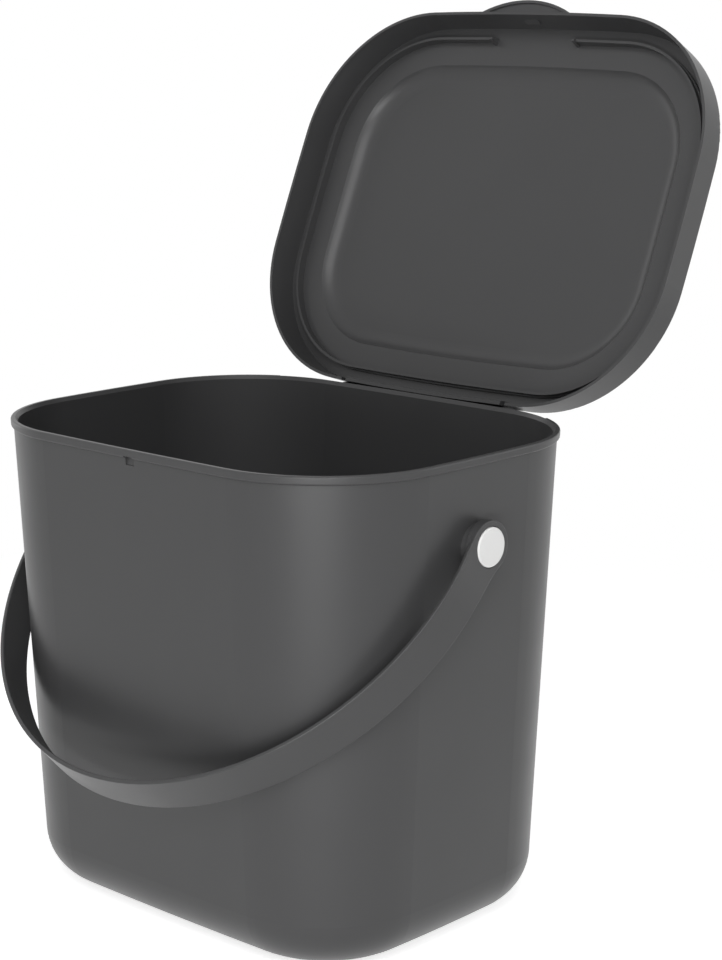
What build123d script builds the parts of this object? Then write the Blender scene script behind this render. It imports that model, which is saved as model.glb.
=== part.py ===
"""Small waste bin: a rounded bucket with a hinged lid, a swinging strap handle and two pivot studs.

Frame: +Z up, the bucket stands on z = 0 about the origin, its front faces -Y and its hinge is at +Y.
The lid is drawn closed and then turned open, and the handle is drawn hanging straight down and then
turned out to the front, so the parts are written in the pose in which the bin is stored.
All lengths are millimetres and all angles are degrees.
"""
from build123d import *
from math import asin, atan, cos, degrees, radians, sin, sqrt, tan
import os

# Bucket, measured at the top of its rim
BUCKET_HEIGHT = 200.0
RIM_HALF_WIDTH = 107.9
RIM_HALF_DEPTH = 84.5
RIM_SIDE_RADIUS = 942.0
RIM_FRONT_RADIUS = 2392.0
RIM_CORNER_RADIUS = 56.1
WALL = 1.8
WALL_DRAFT = 0.0485
BUCKET_FLOOR = 2.2
FOOT_ROUND = 22.2
LIP_PROUD = 1.1
LIP_HEIGHT = 3.5
LIP_TOP_ROUND = 0.8
LIP_FOOT_ROUND = 0.9
RIM_BEVEL_WIDTH = 1.0
RIM_BEVEL_HEIGHT = 1.5

# Catch recess in the front of the wall, below the lip
CATCH_WIDTH = 4.8
CATCH_HEIGHT = 3.6
CATCH_DEPTH_TOP = 1.2
CATCH_DEPTH_FOOT = 0.6
CATCH_BELOW_RIM = 2.75

# Lid, drawn closed and measured at the edge of its skirt
LID_OVERHANG_SIDE = 4.03
LID_OVERHANG_FRONT = 3.88
LID_SIDE_RADIUS = 1838.0
LID_FRONT_RADIUS = 1609.0
LID_CORNER_RADIUS = 61.3
LID_BACKSET = 0.68
LID_OVER_RIM = 3.3
SKIRT_HEIGHT = 15.3
SKIRT_DRAFT = 0.088
SKIRT = 1.3
PLATE = 1.5
LID_TOP_ROUND = 1.4
PANEL_INSET = 18.1
PANEL_RISE = 4.5
PANEL_DRAFT = 0.81
PANEL_ROUND = 9.5
PANEL_ROUND_SHARE = 0.95
SEAT_INSET_SIDE = 4.4
SEAT_INSET_FRONT = 6.2
SEAT_CLEARANCE = 0.3
GUIDE = 1.2
GUIDE_HEIGHT = 4.0
GUIDE_CLEARANCE = 0.8
GUIDE_SHORTER = 1.3
FIN_SPACING = 46.6
FIN = 1.5
FIN_DEPTH = 3.4
FIN_TIP = 0.8
FIN_HEIGHT = 5.2
NUB_WIDTH = 8.0
NUB_HEIGHT = 3.1
NUB_ABOVE_EDGE = 4.6
NUB_CLEARANCE = 0.35
TAB_HALF_WIDTH = 24.7
TAB_REACH = 5.5
TAB = 2.2
TAB_BORDER = 1.3
TAB_SCOOP = 0.9

# Hinge between bucket and lid
HINGE_BEHIND_RIM = 6.52
HINGE_BELOW_RIM = 4.87
LID_OPENING = 113.2
BARREL_RADIUS = 4.0
HINGE_PIN_RADIUS = 2.0
PIN_FIT = 0.05
FLAP_HALF_WIDTH = 44.7
FLAP = 2.0
FLAP_BEVEL = 0.6
EAR = 2.0
EAR_CLEARANCE = 0.3
HEEL_REACH = 2.6
HEEL_WIDTH = 2.5
HEEL_CLEARANCE = 0.3
RELIEF_HALF_WIDTH = 78.0
RELIEF_DEPTH = 0.6
RELIEF_HEIGHT = 8.0

# Handle, its eyes and the bosses that carry them
PIVOT_BELOW_RIM = 34.5
PIVOT_FORWARD = 1.6
HANDLE_OFF_FRONT = 26.8
HANDLE_SWING = 160.0
ARCH_DEPTH = 114.2
LEG_LENGTH = 26.3
LEG_CLEARANCE = 0.47
STRAP_WIDTH = 17.8
STRAP = 1.8
STRAP_ROUND = 0.5
EYE_RADIUS = 10.4
EYE = 4.2
EYE_ROUND = 0.5
EYE_MARGIN = 0.1
BOSS_RADIUS = 8.5
BOSS_RISE = 3.2
BOSS_CLEARANCE = 0.3
STOP_PLACE_RADIUS = 6.2
STOP_RADIUS = 1.0
STOP_RISE = 0.9
STOP_CLEARANCE = 0.3

# Pivot studs
HEAD_RADIUS = 7.85
HEAD = 1.6
HEAD_PROUD = 0.6
HEAD_ROUND = 0.6
HEAD_SIDE_CLEARANCE = 0.3
HEAD_SEAT_CLEARANCE = 0.2
SHANK_RADIUS = 4.0
BARB_REACH = 0.6
BARB_LENGTH = 3.0
BARB_TIP_RADIUS = 3.0
BARB_CLEARANCE = 0.3
STUD_SPLIT = 1.6
STUD_SPLIT_LENGTH = 5.5

hinge_y = RIM_HALF_DEPTH + HINGE_BEHIND_RIM
hinge_z = BUCKET_HEIGHT - HINGE_BELOW_RIM
hinge_axis = Axis((0, hinge_y, hinge_z), (1, 0, 0))
pivot_y = -PIVOT_FORWARD
pivot_z = BUCKET_HEIGHT - PIVOT_BELOW_RIM
pivot_axis = Axis((0, pivot_y, pivot_z), (1, 0, 0))

lid_half_width = RIM_HALF_WIDTH + LID_OVERHANG_SIDE
lid_half_depth = RIM_HALF_DEPTH + LID_OVERHANG_FRONT
plate_top = BUCKET_HEIGHT + LID_OVER_RIM
plate_under = plate_top - PLATE
skirt_edge = plate_top - SKIRT_HEIGHT
top_draw_in = SKIRT_DRAFT * SKIRT_HEIGHT
guide_foot = plate_under - GUIDE_HEIGHT
panel_bend = tan((radians(90) - atan(PANEL_DRAFT)) / 2)
panel_side = PANEL_RISE * sqrt(1 + PANEL_DRAFT ** 2)
panel_round = min(PANEL_ROUND + PLATE, PANEL_ROUND_SHARE * panel_side / panel_bend)

ear_inner = FLAP_HALF_WIDTH + EAR_CLEARANCE
ear_outer = ear_inner + EAR
slot_outer = ear_outer + EAR_CLEARANCE
slot_top = hinge_z + BARREL_RADIUS + EAR_CLEARANCE

boss_face = RIM_HALF_WIDTH - LIP_PROUD - WALL_DRAFT * PIVOT_BELOW_RIM + BOSS_RISE
eye_back = boss_face + BOSS_CLEARANCE
eye_face = eye_back + EYE
arch_half_width = lid_half_width + LEG_CLEARANCE + STRAP
handle_reach = LEG_LENGTH + ARCH_DEPTH
front_out = RIM_HALF_DEPTH - LIP_PROUD - WALL_DRAFT * PIVOT_BELOW_RIM - PIVOT_FORWARD
handle_hang = (
    degrees(asin((front_out + HANDLE_OFF_FRONT) * cos(atan(WALL_DRAFT)) / handle_reach))
    - degrees(atan(WALL_DRAFT))
)
head_face = eye_face + HEAD_PROUD
head_back = head_face - HEAD
head_seat = head_back - HEAD_SEAT_CLEARANCE
stud_hole_radius = SHANK_RADIUS + PIN_FIT


def plan_outline(half_width, half_depth, side_radius, front_radius, corner_radius):
    """A plan face of four slightly bowed sides joined by tangent corner arcs."""
    side_x = half_width - side_radius
    front_y = half_depth - front_radius
    side_reach = side_radius - corner_radius
    front_reach = front_radius - corner_radius
    span = sqrt(side_x ** 2 + front_y ** 2)
    along = (side_reach ** 2 - front_reach ** 2 + span ** 2) / (2 * span)
    across = sqrt(side_reach ** 2 - along ** 2)
    step = Vector(-side_x, front_y) / span
    corner = Vector(side_x, 0) + step * along + Vector(-step.Y, step.X) * across
    side_end = corner + (corner - Vector(side_x, 0)).normalized() * corner_radius
    front_end = corner + (corner - Vector(0, front_y)).normalized() * corner_radius
    middle = corner + ((side_end + front_end) * 0.5 - corner).normalized() * corner_radius
    lines = []
    for sx, sy in ((1, 1), (-1, 1), (-1, -1), (1, -1)):
        lines.append(ThreePointArc(*[(p.X * sx, p.Y * sy) for p in (side_end, middle, front_end)]))
    for sign in (1, -1):
        x_end = sign * side_end.X
        y_end = sign * front_end.Y
        lines.append(ThreePointArc((x_end, -side_end.Y), (sign * half_width, 0), (x_end, side_end.Y)))
        lines.append(ThreePointArc((front_end.X, y_end), (0, sign * half_depth), (-front_end.X, y_end)))
    return make_face(lines)


def bucket_outline(offset):
    """The bucket's plan at the rim, grown by offset."""
    return plan_outline(
        RIM_HALF_WIDTH + offset,
        RIM_HALF_DEPTH + offset,
        RIM_SIDE_RADIUS + offset,
        RIM_FRONT_RADIUS + offset,
        RIM_CORNER_RADIUS + offset,
    )


def lid_outline(offset, deeper=0.0):
    """The lid's plan at its skirt edge, grown by offset, and by deeper more at its front and rear."""
    face = plan_outline(
        lid_half_width + offset,
        lid_half_depth + offset + deeper,
        LID_SIDE_RADIUS + offset,
        LID_FRONT_RADIUS + offset,
        LID_CORNER_RADIUS + offset,
    )
    return Pos(0, LID_BACKSET, 0) * face


def raised(face, start, height, draft):
    """Raise a plan face from z = start by height, drawing it in by draft as it rises."""
    return Pos(0, 0, start) * extrude(face, amount=height, taper=degrees(atan(draft)))


def lowered(face, start, depth, draft):
    """Lower a plan face from z = start by depth, drawing it in by draft as it goes down."""
    risen = extrude(face, amount=depth, taper=degrees(atan(draft)))
    return Pos(0, 0, start) * mirror(risen, Plane.XY)


def prism(face, start, height):
    """Raise a plan face straight up from z = start by height."""
    return Pos(0, 0, start) * extrude(face, amount=height)


def edges_at(shape, height):
    """The edges of a shape that lie flat at one height."""
    near = 1e-3
    found = []
    for edge in shape.edges():
        box = edge.bounding_box()
        if abs(box.min.Z - height) < near and abs(box.max.Z - height) < near:
            found.append(edge)
    return found


def block(x_from, x_to, y_from, y_to, z_from, z_to):
    """A box given by its limits."""
    middle = Pos((x_from + x_to) / 2, (y_from + y_to) / 2, (z_from + z_to) / 2)
    return middle * Box(x_to - x_from, y_to - y_from, z_to - z_from)


def profile_block(x_from, x_to, points):
    """A straight piece along X with a section given by its corners in Y and Z."""
    face = make_face(Polyline(*[(x_from, y, z) for y, z in points], close=True))
    return extrude(face, amount=x_to - x_from, dir=(1, 0, 0))


def disc(axis, x_from, x_to, radius, tip_radius=None):
    """A cylinder along X about an axis, or a cone if it has another radius at x_from."""
    start = radius if tip_radius is None else tip_radius
    at = Location(((x_from + x_to) / 2, axis.position.Y, axis.position.Z), (0, 90, 0))
    if start == radius:
        return at * Cylinder(radius, x_to - x_from)
    return at * Cone(start, radius, x_to - x_from)


def both_sides(shape):
    """A shape and its mirror image across the middle of the bin."""
    return shape + mirror(shape, Plane.YZ)


def wall_out(half_size, height):
    """How far out the bucket's wall stands at a height, given the rim's half size that way."""
    return half_size - LIP_PROUD - WALL_DRAFT * (BUCKET_HEIGHT - height)


def bow(radius, across):
    """How much a bowed side falls back at a distance from its middle."""
    return radius - sqrt(radius ** 2 - across ** 2)


def bucket_shell():
    """The drafted and rounded shell with its lip, open at the top."""
    outside = lowered(bucket_outline(-LIP_PROUD), BUCKET_HEIGHT, BUCKET_HEIGHT, WALL_DRAFT)
    outside = fillet(edges_at(outside, 0), FOOT_ROUND)
    lip = lowered(bucket_outline(0), BUCKET_HEIGHT, LIP_HEIGHT, WALL_DRAFT)
    lip = fillet(edges_at(lip, BUCKET_HEIGHT - LIP_HEIGHT), LIP_FOOT_ROUND)
    lip = fillet(edges_at(lip, BUCKET_HEIGHT), LIP_TOP_ROUND)
    inside_depth = BUCKET_HEIGHT - BUCKET_FLOOR
    inside = lowered(bucket_outline(-LIP_PROUD - WALL), BUCKET_HEIGHT, inside_depth, WALL_DRAFT)
    inside = fillet(edges_at(inside, BUCKET_FLOOR), FOOT_ROUND - WALL)
    bevel_outline = bucket_outline(-LIP_PROUD - WALL + RIM_BEVEL_WIDTH)
    bevel_draft = RIM_BEVEL_WIDTH / RIM_BEVEL_HEIGHT
    bevel = lowered(bevel_outline, BUCKET_HEIGHT, 2 * RIM_BEVEL_HEIGHT, bevel_draft)
    return outside + lip - rear_relief() - inside - bevel


def rear_relief():
    """What is cut from the lip and the wall at the rear, so that the lid's skirt can swing past."""
    kept = lowered(bucket_outline(-LIP_PROUD - RELIEF_DEPTH), BUCKET_HEIGHT, RELIEF_HEIGHT, WALL_DRAFT)
    corner_x = RIM_HALF_WIDTH - RIM_CORNER_RADIUS
    corner_y = RIM_HALF_DEPTH - RIM_CORNER_RADIUS
    side = RELIEF_HALF_WIDTH - corner_x
    out = sqrt(RIM_CORNER_RADIUS ** 2 - side ** 2)
    far_x = corner_x + 2 * side
    far_y = corner_y + 2 * out
    corners = [(corner_x, corner_y), (far_x, far_y), (-far_x, far_y), (-corner_x, corner_y)]
    plan = make_face(Polyline(*corners, close=True))
    return prism(plan, BUCKET_HEIGHT - RELIEF_HEIGHT, RELIEF_HEIGHT) - kept


def catch_recess():
    """The small pocket in the front wall under the lip, deeper at its top."""
    top = BUCKET_HEIGHT - CATCH_BELOW_RIM
    foot = top - CATCH_HEIGHT
    out = -RIM_HALF_DEPTH - LIP_PROUD
    deep_top = CATCH_DEPTH_TOP - wall_out(RIM_HALF_DEPTH, top)
    deep_foot = CATCH_DEPTH_FOOT - wall_out(RIM_HALF_DEPTH, foot)
    points = [(out, foot), (deep_foot, foot), (deep_top, top), (out, top)]
    return profile_block(-CATCH_WIDTH / 2, CATCH_WIDTH / 2, points)


def hinge_ear():
    """The right-hand ear: an arm from the rear wall with a ring, and the heel that stops the lid."""
    middle = (ear_inner + ear_outer) / 2
    wall_y = wall_out(RIM_HALF_DEPTH, hinge_z) - bow(RIM_FRONT_RADIUS, middle)
    root = wall_y - (WALL + RELIEF_DEPTH) / 2
    foot = hinge_z - BARREL_RADIUS
    arm = block(ear_inner, ear_outer, root, hinge_y, foot, foot + 2 * BARREL_RADIUS)
    ring = disc(hinge_axis, ear_inner, ear_outer, BARREL_RADIUS)
    skirt_y = LID_BACKSET + lid_half_depth - bow(LID_FRONT_RADIUS, middle)
    skirt_y -= SKIRT_DRAFT * (slot_top - skirt_edge)
    heel_y = skirt_y + HEEL_CLEARANCE
    heel_z = hinge_z + BARREL_RADIUS
    heel_foot = heel_z - HEEL_WIDTH / 2
    heel_top = heel_z + HEEL_REACH
    heel = block(ear_inner, ear_outer, heel_y, heel_y + HEEL_WIDTH, heel_foot, heel_top)
    return arm + ring + heel.rotate(hinge_axis, -LID_OPENING)


def stop_plane(x_at):
    """A plane across the right pivot that looks out of the bin's side, its x away from the arm."""
    away = (0, sin(radians(handle_hang)), cos(radians(handle_hang)))
    return Plane(origin=(x_at, pivot_y, pivot_z), x_dir=away, z_dir=(-1, 0, 0))


def pivot_boss():
    """The right-hand boss that stands the handle off the wall, with the pip that stops its swing."""
    root = wall_out(RIM_HALF_WIDTH, pivot_z) - WALL / 2
    boss = disc(pivot_axis, root, boss_face, BOSS_RADIUS)
    pip = stop_plane(boss_face) * Pos(STOP_PLACE_RADIUS, 0, 0) * Cylinder(STOP_RADIUS, 2 * STOP_RISE)
    return boss + pip


def make_bucket():
    """The bucket with its hinge ears, handle bosses and catch recess."""
    ear_hole = disc(hinge_axis, ear_inner - EAR, ear_outer + EAR, HINGE_PIN_RADIUS + PIN_FIT)
    stud_hole = disc(pivot_axis, RIM_HALF_WIDTH - BOSS_RADIUS, eye_face, stud_hole_radius)
    bucket = bucket_shell() - catch_recess()
    bucket += both_sides(hinge_ear())
    bucket += both_sides(pivot_boss())
    return bucket - both_sides(ear_hole) - both_sides(stud_hole)


def lid_shell():
    """The lid's skirt and plate with the raised middle panel, open below."""
    skirt = raised(lid_outline(0), skirt_edge, SKIRT_HEIGHT, SKIRT_DRAFT)
    skirt = fillet(edges_at(skirt, plate_top), LID_TOP_ROUND)
    hollow = raised(lid_outline(-SKIRT), skirt_edge, SKIRT_HEIGHT - PLATE, SKIRT_DRAFT)
    inset = top_draw_in + PANEL_INSET
    panel = raised(lid_outline(-inset), plate_top, PANEL_RISE, PANEL_DRAFT)
    panel = fillet(edges_at(panel, plate_top + PANEL_RISE), panel_round)
    under = raised(lid_outline(-inset - PLATE * panel_bend), plate_under, PANEL_RISE, PANEL_DRAFT)
    under = fillet(edges_at(under, plate_under + PANEL_RISE), panel_round - PLATE)
    return skirt + panel - hollow - under


def guide_outline(inset):
    """The plan of the guide rib, inside the rim's wall and further in at the front, then inset more."""
    wall_inside = LIP_PROUD + WALL + WALL_DRAFT * (BUCKET_HEIGHT - guide_foot)
    inward = wall_inside + GUIDE_CLEARANCE + inset
    face = plan_outline(
        RIM_HALF_WIDTH - inward,
        RIM_HALF_DEPTH - inward - GUIDE_SHORTER / 2,
        RIM_SIDE_RADIUS - inward,
        RIM_FRONT_RADIUS - inward,
        RIM_CORNER_RADIUS - inward,
    )
    return Pos(0, GUIDE_SHORTER / 2, 0) * face


def stepped_rib():
    """The rib under the plate, a low seat over the rim and a guide inside it, open between the fins."""
    root = plate_under + PLATE / 2
    seat_foot = BUCKET_HEIGHT + SEAT_CLEARANCE
    seat_plan = lid_outline(-top_draw_in - SEAT_INSET_SIDE, SEAT_INSET_SIDE - SEAT_INSET_FRONT)
    rib = prism(seat_plan, seat_foot, root - seat_foot)
    rib += prism(guide_outline(0), guide_foot, root - guide_foot)
    rib -= prism(guide_outline(GUIDE), guide_foot, PLATE + GUIDE_HEIGHT)
    half = FIN_SPACING / 2
    front = LID_BACKSET - lid_half_depth + top_draw_in + SEAT_INSET_FRONT
    rib -= block(-half, half, 2 * front, 0, guide_foot, plate_under)
    fin_foot = plate_under - FIN_HEIGHT
    tip = front + FIN_DEPTH / 2
    corners = [
        (front, root),
        (front + FIN_DEPTH, root),
        (tip + FIN_TIP / 2, fin_foot),
        (tip - FIN_TIP / 2, fin_foot),
    ]
    fin = profile_block(half - FIN / 2, half + FIN / 2, corners)
    return rib + both_sides(fin)


def catch_nub():
    """The wedge on the inside of the front skirt that faces the catch recess."""
    foot = skirt_edge + NUB_ABOVE_EDGE
    top = foot + NUB_HEIGHT
    tip = -RIM_HALF_DEPTH - NUB_CLEARANCE
    front = LID_BACKSET - lid_half_depth + SKIRT_DRAFT * NUB_ABOVE_EDGE
    root = front + SKIRT / 2
    points = [(root, foot), (front + SKIRT, foot), (tip, top), (root, top)]
    return profile_block(-NUB_WIDTH / 2, NUB_WIDTH / 2, points)


def finger_tab():
    """The crescent at the front of the skirt edge by which the lid is lifted, scooped below."""
    reach = TAB_REACH + bow(LID_FRONT_RADIUS, TAB_HALF_WIDTH)
    radius = (TAB_HALF_WIDTH ** 2 + reach ** 2) / (2 * reach)
    centre = LID_BACKSET - lid_half_depth - TAB_REACH + radius
    crescent = Pos(0, centre, skirt_edge + TAB / 2) * Cylinder(radius, TAB)
    crescent -= prism(lid_outline(-SKIRT / 2), skirt_edge, SKIRT_HEIGHT)
    scoop = Pos(0, centre, skirt_edge) * Cylinder(radius - TAB_BORDER, 2 * TAB_SCOOP)
    scoop -= prism(lid_outline(0), skirt_edge - TAB, 2 * TAB)
    return crescent - scoop


def hinge_flap():
    """The thicker stretch of the rear skirt between the ears, with a bevelled inner edge."""
    height = SKIRT_HEIGHT - PLATE
    ring = raised(lid_outline(-SKIRT / 2), skirt_edge, height, SKIRT_DRAFT)
    ring -= raised(lid_outline(-FLAP), skirt_edge, height, SKIRT_DRAFT)
    ring -= raised(lid_outline(-FLAP + FLAP_BEVEL), skirt_edge, FLAP_BEVEL, 1.0)
    half = FLAP_HALF_WIDTH
    return ring & block(-half, half, 0, 2 * lid_half_depth, skirt_edge, plate_under)


def make_lid():
    """The closed lid with its rib, tab, nub, flap, hinge barrel and pins."""
    lid = lid_shell() + stepped_rib() + catch_nub() + finger_tab() + hinge_flap()
    reach = 2 * BARREL_RADIUS
    slot = block(FLAP_HALF_WIDTH, slot_outer, hinge_y - reach, hinge_y + reach, skirt_edge - FLAP, slot_top)
    lid -= both_sides(slot)
    lid += disc(hinge_axis, -FLAP_HALF_WIDTH, FLAP_HALF_WIDTH, BARREL_RADIUS)
    return lid + disc(hinge_axis, -ear_outer, ear_outer, HINGE_PIN_RADIUS)


def strap_path():
    """The outside of the strap in the XZ plane, down the right leg, round the arch and up again."""
    start = Vector(eye_face, pivot_y, pivot_z)
    end = Vector(arch_half_width, pivot_y, pivot_z - LEG_LENGTH)
    pull = Vector(0, 0, LEG_LENGTH / 2)
    leg = Bezier(start, start - pull, end + pull, end)
    upright = Plane(origin=(0, end.Y, end.Z), x_dir=(1, 0, 0), z_dir=(0, -1, 0))
    arch = upright * EllipticalCenterArc((0, 0), arch_half_width, ARCH_DEPTH, 180, arc_size=180)
    return Wire([leg, arch, leg.mirror(Plane.YZ)])


def strap_sides():
    """The strap's shape seen from the side: as wide as the eyes at its top, drawn in down the legs."""
    half_eye = EYE_RADIUS - EYE_MARGIN
    half_arch = STRAP_WIDTH / 2
    far_x = arch_half_width + STRAP

    def at(side, half, drop):
        return Vector(-far_x, pivot_y + side * half, pivot_z - drop)

    lines = []
    for side in (1, -1):
        leg_end = at(side, half_arch, LEG_LENGTH)
        lines.append(Line(at(side, half_eye, -EYE_RADIUS), at(side, half_eye, 0)))
        lines.append(Bezier(at(side, half_eye, 0), at(side, half_arch, LEG_LENGTH / 2), leg_end))
        lines.append(Line(leg_end, at(side, half_arch, 2 * handle_reach)))
    lines.append(Line(at(1, half_eye, -EYE_RADIUS), at(-1, half_eye, -EYE_RADIUS)))
    lines.append(Line(at(1, half_arch, 2 * handle_reach), at(-1, half_arch, 2 * handle_reach)))
    return extrude(make_face(lines), amount=2 * far_x, dir=(1, 0, 0))


def make_strap():
    """The strap from eye to eye, with its long edges rounded."""
    section = Pos(eye_face - STRAP / 2, pivot_y, pivot_z) * Rectangle(STRAP, 3 * EYE_RADIUS)
    strap = sweep(section, path=strap_path()) & strap_sides()
    long_edges = [edge for edge in strap.edges() if edge.bounding_box().size.Z > LEG_LENGTH / 2]
    return fillet(long_edges, STRAP_ROUND)


def handle_eye():
    """The right-hand eye, with both of its edges rounded."""
    eye = disc(pivot_axis, eye_back, eye_face, EYE_RADIUS)
    return fillet(eye.edges().filter_by(GeomType.CIRCLE), EYE_ROUND)


def swing_groove():
    """The curved groove in the back of the hung handle's right eye, in which the boss's pip runs."""
    run = CenterArc((0, 0), STOP_PLACE_RADIUS, 0, -HANDLE_SWING)
    groove = SlotArc(run, 2 * (STOP_RADIUS + STOP_CLEARANCE))
    depth = boss_face + STOP_RISE + STOP_CLEARANCE - eye_back
    return extrude(stop_plane(eye_back) * groove, amount=depth, both=True)


def make_handle():
    """The strap with an eye at each end, hung down and turned out to the front."""
    seat = disc(pivot_axis, head_seat, head_face, HEAD_RADIUS + HEAD_SIDE_CLEARANCE)
    hole = disc(pivot_axis, boss_face, head_face, stud_hole_radius)
    handle = make_strap() + both_sides(handle_eye())
    handle -= both_sides(seat + hole)
    return handle.rotate(pivot_axis, -handle_hang) - both_sides(swing_groove())


def make_stud():
    """The right-hand pivot stud: a round head, a shank and a split barbed tip inside the wall."""
    lowest = pivot_z - SHANK_RADIUS - BARB_REACH
    barb_to = wall_out(RIM_HALF_WIDTH, lowest) - WALL - BARB_CLEARANCE
    barb_from = barb_to - BARB_LENGTH
    head = disc(pivot_axis, head_back, head_face, HEAD_RADIUS)
    head = fillet(head.edges().filter_by(GeomType.CIRCLE).sort_by(Axis.X)[-1], HEAD_ROUND)
    shank = disc(pivot_axis, barb_to, head_back, SHANK_RADIUS)
    barb = disc(pivot_axis, barb_from, barb_to, SHANK_RADIUS + BARB_REACH, BARB_TIP_RADIUS)
    half = STUD_SPLIT / 2
    split_to = barb_from + STUD_SPLIT_LENGTH
    low, high = pivot_z - HEAD_RADIUS, pivot_z + HEAD_RADIUS
    split = block(barb_from, split_to, pivot_y - half, pivot_y + half, low, high)
    return head + shank + barb - split


def write(shape, node):
    """Write one node's solids to its STEP file and print what it holds."""
    export_step(shape, f"parts/{node}.step")
    print(node, len(shape.solids()), "solids", round(shape.volume), "mm3")


def main():
    os.makedirs("parts", exist_ok=True)
    stud = make_stud()
    write(make_bucket(), "bucket")
    write(make_lid().rotate(hinge_axis, -LID_OPENING), "lid")
    write(make_handle(), "handle")
    write(stud, "pivot_stud_right")
    write(mirror(stud, Plane.YZ), "pivot_stud_left")


if __name__ == "__main__":
    main()
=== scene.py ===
"""Finishes, light and camera for a small waste bin with a hinged lid and a strap handle.

Lengths are metres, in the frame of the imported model: +Z up, the bin's front faces -Y.
"""
import math
import bpy
from bpy.props import FloatProperty, FloatVectorProperty, PointerProperty, StringProperty
from mathutils import Matrix, Vector


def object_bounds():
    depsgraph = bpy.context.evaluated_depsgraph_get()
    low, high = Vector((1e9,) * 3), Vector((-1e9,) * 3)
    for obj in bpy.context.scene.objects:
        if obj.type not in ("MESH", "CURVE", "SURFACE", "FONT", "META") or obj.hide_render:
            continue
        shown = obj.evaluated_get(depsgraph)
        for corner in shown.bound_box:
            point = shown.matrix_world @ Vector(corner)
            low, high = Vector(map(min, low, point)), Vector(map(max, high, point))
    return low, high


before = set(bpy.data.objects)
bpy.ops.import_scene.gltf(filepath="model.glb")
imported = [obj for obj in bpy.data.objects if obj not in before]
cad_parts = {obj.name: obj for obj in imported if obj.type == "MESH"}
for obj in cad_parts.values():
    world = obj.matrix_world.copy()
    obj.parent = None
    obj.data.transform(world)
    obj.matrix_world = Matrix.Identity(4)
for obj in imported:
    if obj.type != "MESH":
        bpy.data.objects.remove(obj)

bl_info = {
    "name": "Small Waste Bin",
    "version": (1, 0, 0),
    "blender": (4, 5, 0),
    "location": "3D Viewport > Sidebar > Waste Bin",
    "description": "Moulded finishes, soft studio light and a camera for a small waste bin",
    "category": "Object",
}

MOULDINGS = ("bucket", "lid", "handle")
WHITE = (1.0, 1.0, 1.0, 1.0)

# The mouldings' surface
PLASTIC_IOR = 1.46
FLOW_MARK_SIZE = 0.05
MOULDING_FLOW = 0.06
STUD_FLOW = 0.02
GLOSS_PATCH_SIZE = 0.02
ROUGHNESS_SPREAD = 0.02
# Most of a noise texture's values lie between these two
NOISE_LOW = 0.3
NOISE_HIGH = 0.7

# The photo's focal length and long side in its own pixels, and the sensor's width in millimetres
PHOTO_FOCAL_LENGTH = 2306.632
PHOTO_LONG_SIDE = 960
SENSOR = 36.0
NEAREST_SEEN = 0.01

# The floor shows shadows out to the first distance and is plain white from the second
FLOOR_HALF = 6.0
FLOOR_SHADED_TO = 0.22
FLOOR_WHITE_FROM = 0.6

SOFTBOX_DISTANCE = 1.4
# Each softbox's azimuth from the bin's front and its elevation in degrees, its width and height
# in metres and its power in watts. The low one stays under the closed lid's top, which would
# otherwise mirror it at a glancing angle.
SOFTBOXES = (
    ("left", -85.0, 8.0, (0.5, 1.2), 2.0),
    ("low", 36.0, -3.4, (0.9, 0.17), 10.5),
    ("upper", 40.0, 40.0, (0.9, 0.9), 10.5),
    ("right", 135.0, 8.0, (0.5, 1.2), 2.8),
)
cad_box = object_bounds()


class BinFinishSettings(bpy.types.PropertyGroup):
    """Colours and surface of the bin's mouldings."""

    plastic_colour: FloatVectorProperty(
        name="Plastic colour",
        description="Colour of the bucket, the lid and the handle",
        subtype="COLOR",
        size=3,
        min=0.0,
        max=1.0,
        default=(0.046, 0.046, 0.047),
    )
    stud_colour: FloatVectorProperty(
        name="Stud colour",
        description="Colour of the two pivot studs",
        subtype="COLOR",
        size=3,
        min=0.0,
        max=1.0,
        default=(0.68, 0.68, 0.675),
    )
    gloss: FloatProperty(
        name="Gloss",
        description="Specular level of the plastic, where 0.5 is a clean polished one",
        min=0.0,
        max=1.0,
        default=0.35,
    )
    roughness: FloatProperty(
        name="Roughness",
        description="How satin the plastic is",
        min=0.0,
        max=1.0,
        default=0.36,
    )
    grain_size: FloatProperty(
        name="Grain size",
        description="Width of one grain of the mould's spark-eroded surface",
        subtype="DISTANCE",
        unit="LENGTH",
        default=0.00035,
    )
    grain_height: FloatProperty(
        name="Grain height",
        description="Height of the grain of the mould's surface",
        subtype="DISTANCE",
        unit="LENGTH",
        default=0.000004,
    )


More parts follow.
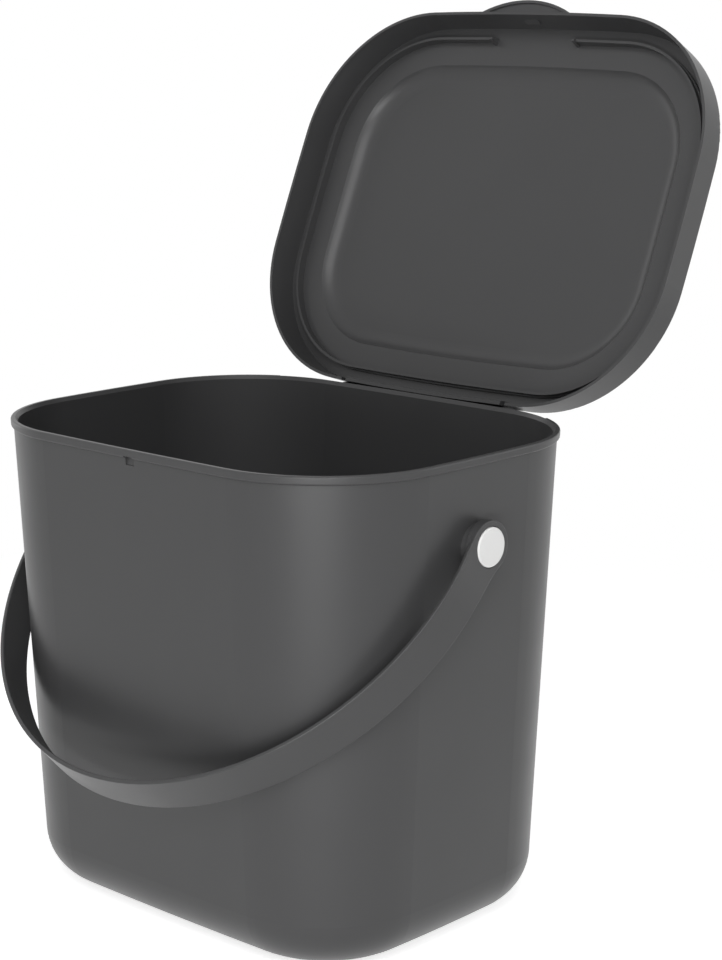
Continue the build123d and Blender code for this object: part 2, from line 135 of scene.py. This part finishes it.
class BinStageSettings(bpy.types.PropertyGroup):
    """Camera, lamps and floor."""

    camera_place: FloatVectorProperty(
        name="Camera place",
        description="Where the camera stands",
        subtype="XYZ",
        unit="LENGTH",
        size=3,
        default=(0.65451, -0.65907, 0.3762),
    )
    camera_azimuth: FloatProperty(
        name="Camera azimuth",
        description="Angle from the bin's front round to the camera",
        subtype="ANGLE",
        unit="ROTATION",
        default=math.radians(42.802),
    )
    camera_elevation: FloatProperty(
        name="Camera elevation",
        description="Angle at which the camera looks down",
        subtype="ANGLE",
        unit="ROTATION",
        default=math.radians(12.245),
    )
    focal_length: FloatProperty(
        name="Focal length",
        description="Focal length of the lens",
        subtype="DISTANCE_CAMERA",
        unit="CAMERA",
        default=PHOTO_FOCAL_LENGTH * SENSOR / PHOTO_LONG_SIDE,
    )
    ambient: FloatProperty(
        name="Ambient light",
        description="Strength of the light that comes from all round",
        default=0.24,
    )
    floor_glow: FloatProperty(
        name="Floor glow",
        description="How much light the floor gives off by itself, which fills the shade low down",
        default=0.05,
    )
    floor_fill: FloatProperty(
        name="Floor fill",
        description="What is added to the floor's brightness where it is seen, so only its shadows show",
        default=0.72,
    )
    floor_colour: FloatVectorProperty(
        name="Floor colour",
        description="Colour of the floor",
        subtype="COLOR",
        size=3,
        min=0.0,
        max=1.0,
        default=(0.9, 0.9, 0.9),
    )


def new_tree(owner):
    """The emptied node tree of a material or a world."""
    owner.use_nodes = True
    owner.node_tree.nodes.clear()
    return owner.node_tree


def add_node(tree, kind, **inputs):
    """A node with values for some of its inputs, whose names are written with underscores."""
    node = tree.nodes.new(kind)
    for name, value in inputs.items():
        node.inputs[name.replace("_", " ")].default_value = value
    return node


def noise(tree, place, size, detail):
    """Noise in the bin's own space, with features about as large as size."""
    node = add_node(tree, "ShaderNodeTexNoise", Scale=1.0 / size, Detail=detail)
    tree.links.new(place.outputs["Object"], node.inputs["Vector"])
    return node


def spread(tree, source, low, high):
    """Noise mapped from its middle range to lie between low and high."""
    node = add_node(tree, "ShaderNodeMapRange", From_Min=NOISE_LOW, From_Max=NOISE_HIGH)
    node.inputs["To Min"].default_value = low
    node.inputs["To Max"].default_value = high
    tree.links.new(source, node.inputs["Value"])
    return node.outputs["Result"]


def moulded_plastic(name, colour, flow, settings):
    """Satin moulded plastic: fine grain, faint flow marks and slightly uneven gloss."""
    material = bpy.data.materials.new(name)
    tree = new_tree(material)
    shader = add_node(tree, "ShaderNodeBsdfPrincipled", IOR=PLASTIC_IOR, Specular_IOR_Level=settings.gloss)
    output = tree.nodes.new("ShaderNodeOutputMaterial")
    place = tree.nodes.new("ShaderNodeTexCoord")
    cloud = noise(tree, place, FLOW_MARK_SIZE, 3.0)
    tint = tree.nodes.new("ShaderNodeMix")
    tint.data_type = "RGBA"
    tint.inputs["A"].default_value = [channel * (1.0 - flow) for channel in colour] + [1.0]
    tint.inputs["B"].default_value = [channel * (1.0 + flow) for channel in colour] + [1.0]
    tree.links.new(cloud.outputs["Fac"], tint.inputs["Factor"])
    tree.links.new(tint.outputs["Result"], shader.inputs["Base Color"])
    patches = noise(tree, place, GLOSS_PATCH_SIZE, 4.0)
    smoothest = settings.roughness - ROUGHNESS_SPREAD
    roughest = settings.roughness + ROUGHNESS_SPREAD
    tree.links.new(spread(tree, patches.outputs["Fac"], smoothest, roughest), shader.inputs["Roughness"])
    grain = noise(tree, place, settings.grain_size, 2.0)
    bump = add_node(tree, "ShaderNodeBump", Distance=settings.grain_height)
    tree.links.new(grain.outputs["Fac"], bump.inputs["Height"])
    tree.links.new(bump.outputs["Normal"], shader.inputs["Normal"])
    tree.links.new(shader.outputs["BSDF"], output.inputs["Surface"])
    return material


def paint(node, material):
    """Give every slot of a CAD node one material."""
    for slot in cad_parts[node].material_slots:
        slot.material = material


def direction(azimuth, elevation):
    """The direction from the bin at an azimuth from its front and an elevation, both in radians."""
    flat = math.cos(elevation)
    return Vector((math.sin(azimuth) * flat, -math.cos(azimuth) * flat, math.sin(elevation)))


def camera_axes(azimuth, elevation):
    """The camera's right, up and backward directions."""
    back = direction(azimuth, elevation)
    right = Vector((math.cos(azimuth), math.sin(azimuth), 0.0))
    return right, back.cross(right), back


def add_camera(settings):
    """The camera, at the photograph's place and angle."""
    data = bpy.data.cameras.new("studio_camera")
    data.sensor_width = SENSOR
    data.lens = settings.focal_length
    data.clip_start = NEAREST_SEEN
    camera = bpy.data.objects.new("studio_camera", data)
    axes = camera_axes(settings.camera_azimuth, settings.camera_elevation)
    turn = Matrix(axes).transposed().to_4x4()
    camera.matrix_world = Matrix.Translation(settings.camera_place) @ turn
    bpy.context.scene.collection.objects.link(camera)
    bpy.context.scene.camera = camera


def add_softbox(name, azimuth, elevation, size, power, target):
    """A soft rectangular lamp, placed round the bin and turned to face it."""
    data = bpy.data.lights.new(name, "AREA")
    data.shape = "RECTANGLE"
    data.size, data.size_y = size
    data.energy = power
    lamp = bpy.data.objects.new(name, data)
    back = direction(math.radians(azimuth), math.radians(elevation))
    lamp.location = target + back * SOFTBOX_DISTANCE
    lamp.rotation_mode = "QUATERNION"
    lamp.rotation_quaternion = (-back).to_track_quat("-Z", "Y")
    bpy.context.scene.collection.objects.link(lamp)


def seen_directly(tree):
    """A value of 1 for camera, glossy and transmission rays, and 0 for the rest."""
    path = tree.nodes.new("ShaderNodeLightPath")
    total = path.outputs["Is Camera Ray"]
    for ray in ("Is Glossy Ray", "Is Transmission Ray"):
        add = tree.nodes.new("ShaderNodeMath")
        add.operation = "MAXIMUM"
        tree.links.new(total, add.inputs[0])
        tree.links.new(path.outputs[ray], add.inputs[1])
        total = add.outputs[0]
    return total


def set_world(ambient):
    """A white surround that lights the bin less than it shows."""
    world = bpy.data.worlds.new("studio_surround")
    tree = new_tree(world)
    shown = add_node(tree, "ShaderNodeBackground", Color=WHITE, Strength=1.0)
    light = add_node(tree, "ShaderNodeBackground", Color=WHITE, Strength=ambient)
    mix = tree.nodes.new("ShaderNodeMixShader")
    output = tree.nodes.new("ShaderNodeOutputWorld")
    tree.links.new(seen_directly(tree), mix.inputs["Fac"])
    tree.links.new(light.outputs["Background"], mix.inputs[1])
    tree.links.new(shown.outputs["Background"], mix.inputs[2])
    tree.links.new(mix.outputs["Shader"], output.inputs["Surface"])
    bpy.context.scene.world = world


def floor_material(settings):
    """A pale floor that keeps the bin's shadow and turns plain white away from it."""
    material = bpy.data.materials.new("studio_floor")
    tree = new_tree(material)
    directly = seen_directly(tree)
    lit = add_node(tree, "ShaderNodeBsdfDiffuse", Color=(*settings.floor_colour, 1.0))
    level = add_node(tree, "ShaderNodeMapRange", To_Min=settings.floor_glow, To_Max=settings.floor_fill)
    lift = add_node(tree, "ShaderNodeEmission", Color=WHITE)
    tree.links.new(directly, level.inputs["Value"])
    tree.links.new(level.outputs["Result"], lift.inputs["Strength"])
    both = tree.nodes.new("ShaderNodeAddShader")
    white = add_node(tree, "ShaderNodeEmission", Color=WHITE, Strength=1.0)
    place = tree.nodes.new("ShaderNodeTexCoord")
    reach = tree.nodes.new("ShaderNodeVectorMath")
    reach.operation = "LENGTH"
    fade = add_node(tree, "ShaderNodeMapRange", From_Min=FLOOR_SHADED_TO, From_Max=FLOOR_WHITE_FROM)
    fade.interpolation_type = "SMOOTHSTEP"
    seen = tree.nodes.new("ShaderNodeMath")
    seen.operation = "MULTIPLY"
    mix = tree.nodes.new("ShaderNodeMixShader")
    output = tree.nodes.new("ShaderNodeOutputMaterial")
    tree.links.new(lit.outputs["BSDF"], both.inputs[0])
    tree.links.new(lift.outputs["Emission"], both.inputs[1])
    tree.links.new(place.outputs["Object"], reach.inputs[0])
    tree.links.new(reach.outputs["Value"], fade.inputs["Value"])
    tree.links.new(fade.outputs["Result"], seen.inputs[0])
    tree.links.new(directly, seen.inputs[1])
    tree.links.new(seen.outputs[0], mix.inputs["Fac"])
    tree.links.new(both.outputs["Shader"], mix.inputs[1])
    tree.links.new(white.outputs["Emission"], mix.inputs[2])
    tree.links.new(mix.outputs["Shader"], output.inputs["Surface"])
    return material


def add_floor(settings):
    """The floor under the bin."""
    mesh = bpy.data.meshes.new("studio_floor")
    corners = [(x * FLOOR_HALF, y * FLOOR_HALF, 0.0) for x, y in ((-1, -1), (1, -1), (1, 1), (-1, 1))]
    mesh.from_pydata(corners, [], [(0, 1, 2, 3)])
    mesh.materials.append(floor_material(settings))
    floor = bpy.data.objects.new("studio_floor", mesh)
    bpy.context.scene.collection.objects.link(floor)


class BIN_OT_finish_piece(bpy.types.Operator):
    """Give one of the bin's dark mouldings its satin plastic"""

    bl_idname = "waste_bin.finish_piece"
    bl_label = "Finish Moulding"

    node: StringProperty(name="Node", description="Name of the moulding", default="bucket")

    def execute(self, context):
        settings = context.scene.bin_finish
        name = self.node + "_plastic_finish"
        paint(self.node, moulded_plastic(name, settings.plastic_colour, MOULDING_FLOW, settings))
        return {"FINISHED"}


class BIN_OT_finish_studs(bpy.types.Operator):
    """Give the two pivot studs their white plastic"""

    bl_idname = "waste_bin.finish_studs"
    bl_label = "Finish Pivot Studs"

    def execute(self, context):
        settings = context.scene.bin_finish
        white = moulded_plastic("stud_plastic_finish", settings.stud_colour, STUD_FLOW, settings)
        for side in ("left", "right"):
            paint("pivot_stud_" + side, white)
        return {"FINISHED"}


class BIN_OT_build_stage(bpy.types.Operator):
    """Set up the floor, the surround, the soft lamps and the camera"""

    bl_idname = "waste_bin.build_stage"
    bl_label = "Build Stage"

    def execute(self, context):
        settings = context.scene.bin_stage
        lowest, highest = cad_box
        middle = (lowest + highest) / 2
        set_world(settings.ambient)
        add_floor(settings)
        for name, azimuth, elevation, size, power in SOFTBOXES:
            add_softbox(name + "_softbox", azimuth, elevation, size, power, middle)
        add_camera(settings)
        context.scene.view_settings.view_transform = "Standard"
        return {"FINISHED"}


class BIN_PT_panel(bpy.types.Panel):
    """The bin's settings and steps"""

    bl_idname = "BIN_PT_panel"
    bl_label = "Waste Bin"
    bl_space_type = "VIEW_3D"
    bl_region_type = "UI"
    bl_category = "Waste Bin"

    def draw(self, context):
        layout = self.layout
        for group in (context.scene.bin_finish, context.scene.bin_stage):
            for name in group.__annotations__:
                layout.prop(group, name)
        for kind in (BIN_OT_finish_piece, BIN_OT_finish_studs, BIN_OT_build_stage):
            layout.operator(kind.bl_idname)


CLASSES = (
    BinFinishSettings,
    BinStageSettings,
    BIN_OT_finish_piece,
    BIN_OT_finish_studs,
    BIN_OT_build_stage,
    BIN_PT_panel,
)


def register():
    """Add the settings, the steps and the panel to Blender."""
    for kind in CLASSES:
        bpy.utils.register_class(kind)
    bpy.types.Scene.bin_finish = PointerProperty(type=BinFinishSettings)
    bpy.types.Scene.bin_stage = PointerProperty(type=BinStageSettings)


def unregister():
    """Take them out again."""
    del bpy.types.Scene.bin_stage
    del bpy.types.Scene.bin_finish
    for kind in reversed(CLASSES):
        bpy.utils.unregister_class(kind)


def main():
    """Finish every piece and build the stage."""
    register()
    for node in MOULDINGS:
        bpy.ops.waste_bin.finish_piece(node=node)
    bpy.ops.waste_bin.finish_studs()
    bpy.ops.waste_bin.build_stage()


if __name__ == "__main__":
    main()
